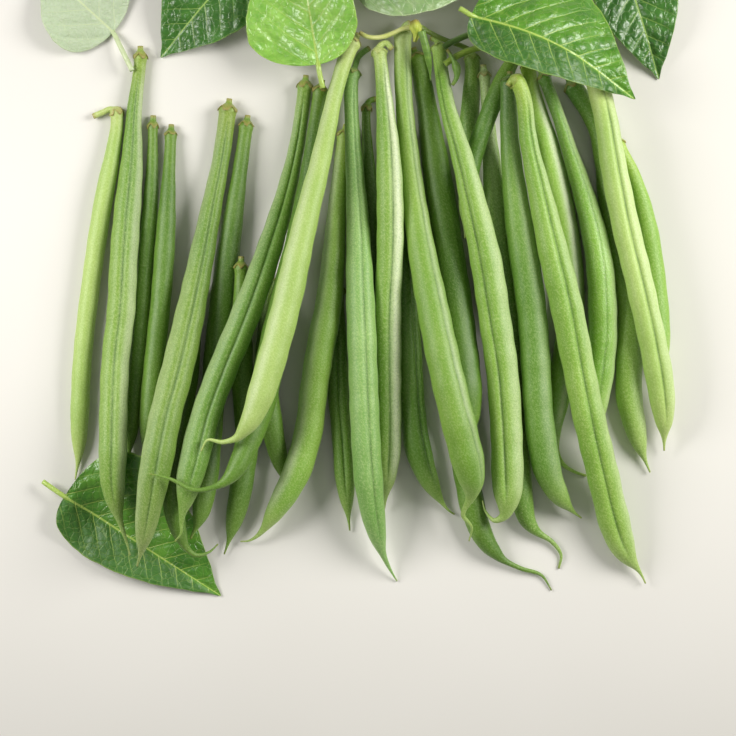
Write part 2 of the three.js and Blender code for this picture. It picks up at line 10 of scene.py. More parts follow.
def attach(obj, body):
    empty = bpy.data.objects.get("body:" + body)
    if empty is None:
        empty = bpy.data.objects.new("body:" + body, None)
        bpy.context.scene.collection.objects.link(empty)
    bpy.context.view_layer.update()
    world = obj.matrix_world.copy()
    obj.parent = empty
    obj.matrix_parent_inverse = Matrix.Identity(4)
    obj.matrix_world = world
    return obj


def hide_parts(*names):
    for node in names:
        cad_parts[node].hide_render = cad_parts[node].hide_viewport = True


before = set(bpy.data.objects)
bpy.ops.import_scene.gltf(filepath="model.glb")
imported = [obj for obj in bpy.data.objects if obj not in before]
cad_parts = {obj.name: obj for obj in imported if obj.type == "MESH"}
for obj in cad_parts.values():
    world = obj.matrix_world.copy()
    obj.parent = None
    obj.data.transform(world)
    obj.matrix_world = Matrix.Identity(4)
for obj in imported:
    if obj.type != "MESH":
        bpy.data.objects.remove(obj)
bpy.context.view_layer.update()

MM = 0.001
LOWEST = 0.05  # no piece goes lower, so that none cuts the surface
POD_SOLID_CORNERS = 9  # round each section of a pod's solid, and of the others'
STALK_SOLID_CORNERS = 6
LEAF_SOLID_CORNERS = 14

# Camera: straight down, as the photo looks; its middle and width on the surface
VIEW_CENTRE = (2.84, -30.96)
VIEW_WIDTH = 198.7
VIEW_HEIGHT = 12  # the height at which that width holds
SENSOR = 36
LENS = 110


def srgb(red, green, blue):
    """A colour of 0 to 255 as the linear numbers that a shader takes."""
    linear = [((c / 255 + 0.055) / 1.055) ** 2.4 if c > 10 else c / 255 / 12.92 for c in (red, green, blue)]
    return (*linear, 1)


def scaled(colour, share):
    """A shader's colour made lighter or darker."""
    return tuple(part * share for part in colour[:3]) + (1,)


# Curves through the solids' sections

def merged(name):
    """A node's mesh with its doubled corners joined, in millimetres."""
    mesh = bmesh.new()
    mesh.from_mesh(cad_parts[name].data)
    bmesh.ops.remove_doubles(mesh, verts=mesh.verts, dist=1e-6)
    bmesh.ops.scale(mesh, vec=(1 / MM,) * 3, verts=mesh.verts)
    return mesh


def sections(name, corners):
    """A solid's rings of corners, from one end's middle point to the other's."""
    mesh = merged(name)
    found = None
    for pole in mesh.verts:
        if len(pole.link_edges) != corners:
            continue
        seen = {pole}
        rings = [[pole]]
        while rings[-1]:
            ring = []
            for corner in rings[-1]:
                for edge in corner.link_edges:
                    other = edge.other_vert(corner)
                    if other not in seen:
                        seen.add(other)
                        ring.append(other)
            rings.append(ring)
        sizes = [len(ring) for ring in rings[:-1]]
        if sizes[-1] == 1 and all(size == corners for size in sizes[1:-1]):
            found = [np.array([v.co for v in ring]) for ring in rings[1:-2]]
            break
    mesh.free()
    if found is None:
        raise RuntimeError(f"{name} has no rings of {corners} corners")
    return found


def monotone(x, y, at):
    """A smooth curve through the points (x, y) that swings no further than they do."""
    steps = np.diff(x)
    slopes = np.diff(y) / steps
    tangents = np.zeros(len(x))
    tangents[0] = slopes[0]
    tangents[-1] = slopes[-1]
    for i in range(1, len(x) - 1):
        if slopes[i - 1] * slopes[i] > 0:
            tangents[i] = 2 * slopes[i - 1] * slopes[i] / (slopes[i - 1] + slopes[i])
    i = np.clip(np.searchsorted(x, at, side="right") - 1, 0, len(x) - 2)
    t = (at - x[i]) / steps[i]
    return (y[i] * (2 * t**3 - 3 * t**2 + 1) + y[i + 1] * (3 * t**2 - 2 * t**3)
            + tangents[i] * steps[i] * (t**3 - 2 * t**2 + t) + tangents[i + 1] * steps[i] * (t**3 - t**2))


def through(points, distance, at):
    """A smooth line through points that lie at these distances along it."""
    before = np.diff(points, axis=0) / np.diff(distance)[:, None]
    tangents = np.vstack([before[:1], (before[:-1] + before[1:]) / 2, before[-1:]])
    i = np.clip(np.searchsorted(distance, at, side="right") - 1, 0, len(distance) - 2)
    step = (distance[i + 1] - distance[i])[:, None]
    t = ((at - distance[i]) / (distance[i + 1] - distance[i]))[:, None]
    return (points[i] * (2 * t**3 - 3 * t**2 + 1) + points[i + 1] * (3 * t**2 - 2 * t**3)
            + tangents[i] * step * (t**3 - 2 * t**2 + t) + tangents[i + 1] * step * (t**3 - t**2))


def frames(line):
    """Along, sideways and up at each point of a line. Where it runs towards -Y, sideways is +X."""
    along = np.gradient(line, axis=0)
    along /= np.linalg.norm(along, axis=1)[:, None]
    side = np.stack([-along[:, 1], along[:, 0], np.zeros(len(line))], axis=1)
    side /= np.linalg.norm(side, axis=1)[:, None]
    return along, side, np.cross(along, side)


def wobble(x, period, seed):
    """A smooth random curve between about -1 and 1, the same on each run."""
    draw = random.Random(seed)
    total = np.zeros_like(x)
    for share, stretch in ((0.5, 1), (0.3, 0.57), (0.2, 0.31)):
        total += share * np.sin(2 * math.pi * (x / (period * stretch) + draw.random()))
    return total


def smooth(t):
    """From 0 to 1 without a kink, as t goes from 0 to 1."""
    t = np.clip(t, 0, 1)
    return t * t * (3 - 2 * t)


def softened(values, at, spread, weight):
    """Values averaged over a spread along the line, as far as the weight says."""
    share = np.exp(-(((at[None, :] - at[:, None]) / spread) ** 2)) * np.gradient(at)
    average = (share * values).sum(axis=1) / share.sum(axis=1)
    return values * (1 - weight) + average * weight


def bell(x, width):
    """1 at the middle, falling off to both sides."""
    return np.exp(-((x / width) ** 2))


def around(angle):
    """An angle as one between -pi and pi."""
    return (angle + math.pi) % (2 * math.pi) - math.pi


# Meshes

def tube_faces(rings, corners, start=0):
    """Quads between rings, and a fan to a middle point at each end. The two points come after the rings."""
    faces = []
    for i in range(rings - 1):
        for j in range(corners):
            a = start + i * corners + j
            b = start + i * corners + (j + 1) % corners
            faces.append((a, b, b + corners, a + corners))
    first = start + rings * corners
    last = start + (rings - 1) * corners
    for j in range(corners):
        after = (j + 1) % corners
        faces.append((first, start + after, start + j))
        faces.append((first + 1, last + j, last + after))
    return faces


class Shape:
    """Corners, faces and masks of a piece, gathered from several closed surfaces."""

    def __init__(self, *masks):
        self.corners = []
        self.faces = []
        self.masks = {mask: [] for mask in masks}
        self.count = 0

    def add(self, corners, faces, **masks):
        """One more closed surface. A mask that isn't given is 0 on it."""
        self.faces += [tuple(c + self.count for c in face) for face in faces]
        self.corners.append(corners)
        self.count += len(corners)
        for mask, values in self.masks.items():
            values.append(np.broadcast_to(masks.get(mask, 0.0), len(corners)))

    def tube(self, line, radii, angle, section=None, **masks):
        """A closed tube along a line. section(angle, i) gives the radius shares of ring i."""
        _, side, up = frames(line)
        corners = len(angle)
        rings = []
        for i, point in enumerate(line):
            share = section(angle, i) if section else np.ones(corners)
            across = (np.sin(angle) * share * radii[i])[:, None] * side[i]
            rise = (np.cos(angle) * share * radii[i])[:, None] * up[i]
            rings.append(point + across + rise)
        rings = np.array(rings)
        rings[:, :, 2] = np.maximum(rings[:, :, 2], LOWEST)
        ends = np.array([rings[0].mean(axis=0), rings[-1].mean(axis=0)])
        full = {}
        for mask, values in masks.items():
            values = np.broadcast_to(np.asarray(values, float), (len(line), corners)).copy()
            full[mask] = np.concatenate([values.ravel(), [values[0].mean(), values[-1].mean()]])
        self.add(np.vstack([rings.reshape(-1, 3), ends]), tube_faces(len(line), corners), **full)

    def piece(self, name, node, material):
        """The finished object, which stands for a CAD node."""
        mesh = bpy.data.meshes.new(name)
        mesh.from_pydata((np.vstack(self.corners) * MM).tolist(), [], self.faces)
        mesh.update()
        for mask, values in self.masks.items():
            attribute = mesh.attributes.new(mask, "FLOAT", "POINT")
            attribute.data.foreach_set("value", np.concatenate(values).astype(np.float32))
        mesh.polygons.foreach_set("use_smooth", [True] * len(mesh.polygons))
        mesh.materials.append(material)
        made = bpy.data.objects.new(name, mesh)
        bpy.context.scene.collection.objects.link(made)
        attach(made, "root")
        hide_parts(node)
        return made


# Materials

def node(tree, kind, inputs=None, **settings):
    """A shader node. Each input is a number, a colour or another node's output."""
    made = tree.nodes.new(kind)
    for key, value in settings.items():
        setattr(made, key, value)
    for socket, value in (inputs or {}).items():
        if isinstance(value, bpy.types.NodeSocket):
            tree.links.new(value, made.inputs[socket])
        else:
            made.inputs[socket].default_value = value
    return made


def mask(tree, name):
    """What Shape wrote on the mesh under this name."""
    return node(tree, "ShaderNodeAttribute", attribute_name=name).outputs["Fac"]


def blend(tree, factor, first, second, mode="MIX"):
    """Two colours mixed. The sockets go by number, because the mix node repeats their names."""
    made = node(tree, "ShaderNodeMix", {0: factor, 6: first, 7: second}, data_type="RGBA", blend_type=mode)
    return made.outputs[2]


def between(tree, value, low, high, to_low=0.0, to_high=1.0):
    """A value stretched so that low to high becomes to_low to to_high."""
    names = {"Value": value, "From Min": low, "From Max": high, "To Min": to_low, "To Max": to_high}
    return node(tree, "ShaderNodeMapRange", names, clamp=True).outputs[0]


def grain(tree, scale, stretch=(1, 1, 1), detail=2.0, roughness=0.5, shift=0.0, turn=0.0):
    """Noise in metres' scale, drawn out where stretch is large, along axes that are turned round Z."""
    place = node(tree, "ShaderNodeTexCoord").outputs["Object"]
    mapping = {"Vector": place, "Location": (shift,) * 3, "Rotation": (0, 0, turn), "Scale": stretch}
    mapped = node(tree, "ShaderNodeMapping", mapping, vector_type="TEXTURE")
    made = node(tree, "ShaderNodeTexNoise", {
        "Vector": mapped.outputs[0], "Scale": scale, "Detail": detail, "Roughness": roughness,
    })
    return made.outputs[0]


def skin_material(name):
    material = bpy.data.materials.new(name)
    material.use_nodes = True
    material.node_tree.nodes.clear()
    return material, material.node_tree


def finish_material(tree, colour, roughness, bump, **settings):
    inputs = {"Base Color": colour, "Roughness": roughness, "Normal": bump, **settings}
    shader = node(tree, "ShaderNodeBsdfPrincipled", inputs)
    node(tree, "ShaderNodeOutputMaterial", {"Surface": shader.outputs[0]})


# The colours that all pods share
VELVET = srgb(220, 236, 170)
PALE_RIDGE_AND_HIGHLIGHT = srgb(230, 238, 204)
GROOVE_LINE_AND_SHADE = srgb(58, 104, 22)
DRY = srgb(164, 142, 84)
HAIR_SLANT = 0.7  # of the skin's short hairs, off the bunch's length


def pod_material(name, skin, deep, neck, tip, seed, velvet, wet):
    """Bean skin: two greens in soft patches, a deeper groove, paler ends and a fine velvety grain."""
    material, tree = skin_material(name)
    patches = between(tree, grain(tree, 70, (1, 3.3, 1), 2, 0.5, seed * 0.37), 0.35, 0.65)
    colour = blend(tree, patches, skin, deep)
    colour = blend(tree, mask(tree, "neck"), colour, neck)
    colour = blend(tree, mask(tree, "tip"), colour, tip)
    # Painted highlight: a whitish ridge on the side that faces the light, over the pod's own paler ridge
    colour = blend(tree, mask(tree, "pale"), colour, PALE_RIDGE_AND_HIGHLIGHT)
    streaks = between(tree, grain(tree, 420, (1, 8, 1), 3, 0.6, seed * 0.11), 0.3, 0.7, 0.0, 0.3)
    colour = blend(tree, streaks, colour, deep)
    # The groove's darker line is partly the seam's own colour and partly painted shade in its valley
    colour = blend(tree, mask(tree, "groove"), colour, GROOVE_LINE_AND_SHADE)
    fuzz = grain(tree, 3200, (1, 2, 1), 3, 0.65, seed * 0.019, HAIR_SLANT)
    light = between(tree, fuzz, 0.46, 0.68, 0.0, 0.3 * velvet)
    colour = blend(tree, light, colour, VELVET)
    dark = between(tree, fuzz, 0.32, 0.52, 0.42 * velvet, 0.0)
    colour = blend(tree, dark, colour, deep)
    colour = blend(tree, mask(tree, "dry"), colour, DRY)
    rough = between(tree, fuzz, 0.3, 0.7, 0.36 - 0.16 * wet, 0.54 - 0.24 * wet)
    height = 0.00015 + 0.0001 * wet
    bump = node(tree, "ShaderNodeBump", {"Strength": 0.75, "Distance": height, "Height": fuzz})
    finish_material(tree, colour, rough, bump.outputs[0], **{
        "Subsurface Weight": 0.1, "Subsurface Radius": (0.9, 1.2, 0.4), "Subsurface Scale": 0.001,
        "Sheen Weight": 0.22 * velvet, "Sheen Roughness": 0.4, "Sheen Tint": (0.92, 1, 0.7, 1),
        "Specular IOR Level": 0.5, "Coat Weight": 0.14 + 0.5 * wet, "Coat Roughness": 0.34 - 0.16 * wet,
        "Coat Normal": bump.outputs[0],
    })
    return material


# Pods

POD_CORNERS = 44
POD_STEP = 0.9  # between a pod's sections
END_STEP = 0.35  # the same near its ends
END_LENGTH = 9
FLATNESS = 0.93  # a pod's height as a share of its width, as in its solid
SEAM_CROWDING = 0.5  # how much closer the corners are at the seam than they are on average
SEED_BUMPS = 0.018
SEED_GAP = 9.5  # between the middles of two seeds
NECK_LENGTH = 16
BEAK_LENGTH = 34  # at the tip, over which the body runs out into its tail
BEAK_SOFTNESS = 3.2
TAIL_LENGTH = 8
GROOVED_RADIUS = 1.5  # a pod has its groove and its seeds where it is thicker than this
SEAM_SHARE = 0.93  # a corner nearer to the middle than this share of the usual is the seam's
SHADES = {
    # skin, deeper patches, neck, tip
    "light": ((146, 184, 74), (112, 160, 44), (162, 188, 72), (170, 196, 110)),
    "mid": ((118, 162, 56), (86, 136, 32), (132, 168, 58), (144, 178, 84)),
    "dark": ((100, 142, 38), (72, 114, 20), (106, 144, 36), (114, 152, 56)),
    "pale": ((178, 204, 114), (146, 182, 80), (192, 206, 126), (180, 202, 116)),
    "blue": ((154, 192, 112), (116, 166, 76), (124, 172, 80), (148, 192, 112)),
}


def pod(name, shade, tone=1.0, seam=None, groove=0.2, velvet=1.0, wet=0.0, pale=None, tip_length=22,
        neck_colour=None, neck_length=NECK_LENGTH, calyx=1.0, tail_taper=0.55):
    """A pod: a knob with its calyx, a slim neck, two lobes along a sunken seam, and a thin curved tail.

    Angles round the pod start at its top and go towards +X. seam is the seam's angle at the stalk end
    and at the tip, where it isn't the solid's. groove is its depth as a share of the radius, and how dark
    its line is, partly the seam's colour and partly painted shade. pale is the angle, the strength and
    the width of a whitish ridge, partly the pod's paler ridge and partly a painted highlight on the side
    that faces the light. calyx is how brown the calyx is. tone makes the shade lighter or darker, velvet
    is how hairy the skin is and wet how glossy. The tip's and the neck's colours reach as far as
    tip_length and neck_length, and tail_taper is how much of its radius the tail loses.
    """
    seed = int(name[-2:])
    rings = sections(name, POD_SOLID_CORNERS)
    centres = np.array([ring.mean(axis=0) for ring in rings])
    reach = [np.linalg.norm(ring - centre, axis=1) for ring, centre in zip(rings, centres)]
    radii = np.array([np.sort(lengths)[-3:].mean() for lengths in reach])
    if radii[0] < radii[-1]:
        rings, centres, radii = rings[::-1], centres[::-1], radii[::-1]
    distance = np.concatenate([[0], np.cumsum(np.linalg.norm(np.diff(centres, axis=0), axis=1))])
    length = distance[-1]
    near = np.arange(0, END_LENGTH, END_STEP)
    body = np.arange(END_LENGTH, length - END_LENGTH, POD_STEP)
    at = np.concatenate([near, body, length - near[::-1]])
    line = through(centres, distance, at)
    # The body runs out into its tail like a beak, and the tail to a fine point.
    beak = smooth((at - (length - BEAK_LENGTH)) / 8)
    radius = softened(monotone(distance, radii, at), at, BEAK_SOFTNESS, beak)
    radius = softened(radius, at, 0.8, 1 - smooth((at - 3) / 3))
    radius *= 1 - tail_taper * smooth((at - (length - TAIL_LENGTH)) / TAIL_LENGTH)
    # The seam is at the corner that lies nearer to the middle than its neighbours do.
    _, side, up = frames(centres)
    angles = []
    for ring, centre, across, rise in zip(rings, centres, side, up):
        flat = np.stack([(ring - centre) @ across, (ring - centre) @ rise / FLATNESS], axis=1)
        lengths = np.linalg.norm(flat, axis=1)
        if lengths.min() < SEAM_SHARE * np.median(lengths):
            corner = flat[lengths.argmin()]
            angles.append(math.atan2(corner[0], corner[1]))
    if seam is None:
        seam = (float(np.median(angles)) if angles else math.pi,) * 2
    full = radius > GROOVED_RADIUS
    start = at[full][0]
    stop = at[full][-1]
    opened = smooth((at - start) / 12) * smooth((stop - at) / 9)
    beat = 2 * math.pi * (at / SEED_GAP + seed * 0.31)
    swell = 1 + opened * SEED_BUMPS * np.cos(beat + wobble(at, 40, seed))
    swell += opened * 0.012 * wobble(at, 33, seed + 50)
    turn = np.interp(at, (0, length), seam) + 0.08 * wobble(at, 120, seed + 90)

    def section(angle, i):
        """The radius shares of ring i: flattened, with the groove and the fine string opposite it."""
        away = around(angle - turn[i])
        valley = 0.5 * bell(away, 0.12) + 0.5 * bell(away, 0.3) + 0.4 * bell(away, 0.66)
        string = 0.035 * bell(around(away + math.pi), 0.2)
        flat = np.sqrt(np.sin(angle) ** 2 + (FLATNESS * np.cos(angle)) ** 2)
        return flat * (1 - opened[i] * (groove * valley + string)) * swell[i]

    even = 2 * math.pi * np.arange(POD_CORNERS) / POD_CORNERS
    angle = sum(seam) / 2 + even - SEAM_CROWDING * np.sin(even)
    away = around(angle[None, :] - turn[:, None])
    # The groove's line: partly the seam's colour, partly painted shade where the valley lies
    groove_line_and_shade = bell(away, 0.1) * opened[:, None] * (0.6 + 0.25 * wobble(at, 21, seed + 7)[:, None])
    groove_line_and_shade = groove_line_and_shade * min(1, groove / 0.1)
    # The whitish ridge: the pod's paler ridge and a painted highlight on the side that faces the light
    ridge_and_highlight = np.zeros_like(away)
    if pale is not None:
        ridge_and_highlight = pale[1] * bell(around(angle[None, :] - pale[0]), pale[2]) * opened[:, None]
    neck = 1 - smooth((at - 2) / neck_length)
    tip = smooth((at - (length - tip_length)) / (tip_length - 4))
    dry = 0.7 * (1 - smooth(at / 1.2)) + 0.3 * smooth((at - length + 2.2) / 2.2)
    shape = Shape("neck", "tip", "groove", "pale", "dry")
    shape.tube(line, radius, angle, section, groove=groove_line_and_shade, pale=ridge_and_highlight,
               neck=neck[:, None], tip=tip[:, None], dry=dry[:, None])
    add_calyx(shape, at, line, radius, seed, calyx)
    colours = [scaled(srgb(*colour), tone) for colour in SHADES[shade]]
    if neck_colour is not None:
        colours[2] = srgb(*neck_colour)
    shape.piece(f"{name}_skin", name, pod_material(f"{name}_skin", *colours, seed, velvet, wet))


CALYX_LOBES = 5
CALYX_CORNERS = 40
CALYX_RADIUS = 1.1  # of the pod where the calyx sits
CALYX_ROOT = 0.4  # how far it starts before that
# Its profile: how far along the lobe, and how far off the skin. It starts and ends inside the skin.
CALYX_PROFILE = (
    (0, -0.1), (0.1, 0.14), (0.45, 0.22), (0.8, 0.26), (1, 0.34), (1, 0.2), (0.6, -0.1), (0, -0.2),
)
# How brown each row of the profile is
CALYX_BROWN = (0.1, 0.1, 0.3, 0.6, 0.9, 0.9, 0.5, 0.2)


def add_calyx(shape, at, line, radius, seed, brown):
    """What is left of the flower's cup: a small ragged collar on the end of the pod."""
    draw = random.Random(seed)
    root = at[max(np.searchsorted(radius, CALYX_RADIUS), 1)]
    corners = CALYX_CORNERS
    _, side, up = frames(line)
    angle = 2 * math.pi * np.arange(corners) / corners
    lobe = np.abs(np.sin(CALYX_LOBES / 2 * angle + draw.uniform(0, math.pi)))
    long = (0.8 + 1.15 * lobe ** 1.4) * draw.uniform(0.75, 1.2)
    long *= np.array([draw.uniform(0.85, 1.15) for _ in range(corners)])
    rows = []
    for t, lift in CALYX_PROFILE:
        place = root - CALYX_ROOT + t * long
        ring = []
        for j in range(corners):
            point = np.array([np.interp(place[j], at, line[:, k]) for k in range(3)])
            r = np.interp(place[j], at, radius) + lift
            i = min(np.searchsorted(at, place[j]), len(at) - 1)
            ring.append(point + side[i] * math.sin(angle[j]) * r + up[i] * math.cos(angle[j]) * r * FLATNESS)
        rows.append(ring)
    faces = []
    for i in range(len(rows)):
        below = (i + 1) % len(rows)
        for j in range(corners):
            after = (j + 1) % corners
            a = i * corners
            b = below * corners
            faces.append((a + j, a + after, b + after, b + j))
    rows = np.array(rows)
    rows[:, :, 2] = np.maximum(rows[:, :, 2], LOWEST)
    dry = brown * np.repeat(CALYX_BROWN, corners)
    shape.add(rows.reshape(-1, 3), faces, neck=1.0, dry=dry)


# Each pod's shade, and what sets it apart
PODS = {
    "pod_01": ("light", {"tone": 0.82, "seam": (0.1, 0), "pale": (1.1, 0.6, 0.45)}),
    "pod_02": ("pale", {}),
    "pod_03": ("dark", {"velvet": 0.55}),
    "pod_04": ("dark", {"velvet": 0.55}),
    "pod_05": ("light", {"tone": 0.7, "velvet": 0.8, "seam": (0.3, 0.1), "pale": (-1.1, 0.25, 0.4),
                         "tip_length": 30}),
    "pod_06": ("mid", {"tone": 0.95, "velvet": 0.8, "seam": (0, 0.25), "pale": (-1.1, 0.3, 0.45)}),
    "pod_07": ("pale", {"pale": (-0.7, 0.4, 0.45)}),
    "pod_08": ("dark", {"groove": 0.05, "velvet": 0.5}),
    "pod_09": ("dark", {"velvet": 0.55}),
    "pod_10": ("dark", {"velvet": 0.55}),
    "pod_11": ("dark", {"velvet": 0.55}),
    "pod_12": ("dark", {"velvet": 0.55}),
    "pod_13": ("light", {"tone": 1.05, "pale": (-0.9, 0.6, 0.5), "groove": 0.03}),
    "pod_14": ("mid", {"velvet": 0.8}),
    "pod_17": ("blue", {"tone": 0.97, "seam": (0.42, 0.3), "groove": 0.14, "calyx": 0.7}),
    "pod_18": ("dark", {"velvet": 0.55}),
    "pod_19": ("light", {"tone": 0.92, "seam": (0.5, 0), "pale": (0.8, 0.95, 0.5), "calyx": 0.2,
                         "neck_colour": (196, 212, 128)}),
    "pod_20": ("light", {"tone": 0.88, "velvet": 0.7, "seam": (0.45, 0.9), "groove": 0.08,
                         "pale": (0.9, 0.3, 0.4), "calyx": 0.1,
                         "neck_colour": (196, 214, 140)}),
    "pod_21": ("mid", {"velvet": 0.7}),
    "pod_22": ("dark", {"groove": 0.05, "velvet": 0.5}),
    "pod_23": ("light", {"seam": (-0.75, -0.15), "pale": (0.95, 0.5, 0.5), "calyx": 0.3,
                         "neck_colour": (166, 196, 96)}),
    "pod_24": ("dark", {"groove": 0.08, "velvet": 0.55}),
    "pod_25": ("mid", {"pale": (1.0, 0.4, 0.45), "calyx": 0.3}),
    "pod_26": ("mid", {"tone": 0.85, "groove": 0.05, "velvet": 0.65}),
    # pod_28's dark neck colour is painted shadow on its upper part, under pod_29
    "pod_28": ("mid", {"tone": 0.95, "velvet": 0.7, "groove": 0.02, "pale": (0.7, 0.2, 0.5), "calyx": 0.2,
                       "neck_colour": (66, 110, 30), "neck_length": 34}),
    "pod_29": ("light", {"seam": (0.5, -0.05), "tone": 1.02, "pale": (1.15, 0.4, 0.4), "calyx": 0.4}),
    # pod_30's long pale neck colour is painted light on its lit upper part
    "pod_30": ("mid", {"neck_colour": (190, 212, 146), "neck_length": 62, "tail_taper": 0.35}),
    # pod_31's raised tone is painted light, as it lies in the shade of pod_32; its ridge is painted
    # highlight
    "pod_31": ("light", {"tone": 1.4, "groove": 0.03, "pale": (0.5, 1.0, 0.35), "tail_taper": 0.2}),
    "pod_32": ("light", {"tone": 1.2, "seam": (0.55, 0), "wet": 0.6, "groove": 0.06,
                         "pale": (1.1, 0.5, 0.4), "neck_colour": (84, 138, 38), "neck_length": 26}),
    "pod_33": ("pale", {"tone": 1.05, "seam": (0.35, 0.2), "pale": (1.0, 0.4, 0.5)}),
    "pod_34": ("light", {"groove": 0.05, "pale": (0.9, 0.4, 0.5), "neck_colour": (74, 132, 40)}),
    "pod_35": ("light", {"tone": 1.1}),
}
for pod_name, (shade, extra) in PODS.items():
    pod(pod_name, shade, **extra)


# Stalks

STALK_STEP = 0.35
STALK_CORNERS = 24
STALK_DRY = srgb(140, 104, 52)


def stalk_material(name, skin, deep, far):
    material, tree = skin_material(name)
    fibres = grain(tree, 900, (4, 1, 1), 3, 0.6, 0.3)
    colour = blend(tree, between(tree, fibres, 0.35, 0.65), skin, deep)
    colour = blend(tree, mask(tree, "far"), colour, far)
    colour = blend(tree, mask(tree, "dry"), colour, STALK_DRY)
    rough = between(tree, fibres, 0.3, 0.7, 0.4, 0.6)
    bump = node(tree, "ShaderNodeBump", {"Strength": 0.3, "Distance": 0.00015, "Height": fibres})
    finish_material(tree, colour, rough, bump.outputs[0], **{
        "Subsurface Weight": 0.15, "Subsurface Radius": (1.0, 1.2, 0.4), "Subsurface Scale": 0.001,
        "Sheen Weight": 0.2, "Sheen Roughness": 0.5, "Coat Weight": 0.15, "Coat Roughness": 0.3,
    })
    return material


def stalk(name, skin, deep, dry_ends=(0.0, 0.0), far=None, ribs=0.05, taper=0.0):
    """A stalk. dry_ends says how brown its ends are, and far is the colour of its further half.

    ribs is how deep it is fluted, and taper how much of its radius it loses along the further half.
    """
    rings = sections(name, STALK_SOLID_CORNERS)
    centres = np.array([ring.mean(axis=0) for ring in rings])
    radii = np.array([np.linalg.norm(ring - centre, axis=1).mean() for ring, centre in zip(rings, centres)])
    distance = np.concatenate([[0], np.cumsum(np.linalg.norm(np.diff(centres, axis=0), axis=1))])
    at = np.arange(0, distance[-1], STALK_STEP)
    line = through(centres, distance, at)
    seed = len(name)
    radius = monotone(distance, radii, at) * (1 + 0.05 * wobble(at, 9, seed))
    length = distance[-1]
    radius *= 1 - taper * smooth((at / length - 0.5) / 0.5)
    dry = dry_ends[0] * (1 - smooth(at / 2)) + dry_ends[1] * smooth((at - length + 2) / 2)
    beyond = smooth((at / length - 0.45) / 0.12) if far else np.zeros_like(at)
    shape = Shape("dry", "far")

    def section(angle, i):
        return 1 + ribs * np.cos(3 * angle + 0.08 * at[i])

    corners = np.linspace(0, 2 * math.pi, STALK_CORNERS, endpoint=False)
    shape.tube(line, radius, corners, section, dry=dry[:, None], far=beyond[:, None])
    colours = (srgb(*skin), srgb(*deep), srgb(*(far or skin)))
    shape.piece(f"{name}_skin", name, stalk_material(f"{name}_skin", *colours))


stalk("flower_stalk", (222, 224, 156), (196, 206, 112), (0.5, 0.2), (120, 146, 56))
stalk("flower_bracts", (204, 214, 96), (168, 186, 60), (0.3, 0.8), ribs=0.3)
stalk("side_stalk", (118, 156, 60), (88, 128, 40), taper=0.8)
stalk("leaf_stalk_dark", (104, 138, 56), (76, 112, 36))
stalk("leaf_stalk_bright", (164, 190, 78), (132, 166, 50))
stalk("flower_bud", (120, 156, 64), (92, 132, 40), (0.6, 0.2))


# Leaves

STEM_RINGS = 4  # the sections of a leaf's solid that are its stalk, before those of its blade
STEM_RADIUS = 0.7
STEM_STEP = 0.5
STEM_CORNERS = 14
BLADE_ROWS = 8
BLADE_COLUMNS = 7
BLADE_START = 0.04
BLADE_END = 0.99
LEAF_THICKNESS = 0.34
LEAF_CELL = 0.32  # between a blade's points
VEIN_GAP = 5.4  # along the midrib, between side veins
VEIN_SLANT = 0.85  # how far a side vein runs towards the tip for each millimetre outwards
PUCKER_SIZE = 3.0


def blade_width(u, bulge):
    """The half width as a share, from base to tip, as in the solids, but drawn out further at the tip."""
    rounded = np.sin(math.pi * np.clip(u, 0, 1) ** bulge) ** 0.75
    return rounded * (1 - 0.25 * smooth((u - 0.6) / 0.4)) * (1 - 0.3 * smooth((u - 0.86) / 0.1))


def arithmetic(tree, operation, *values):
    return node(tree, "ShaderNodeMath", dict(enumerate(values)), operation=operation).outputs[0]


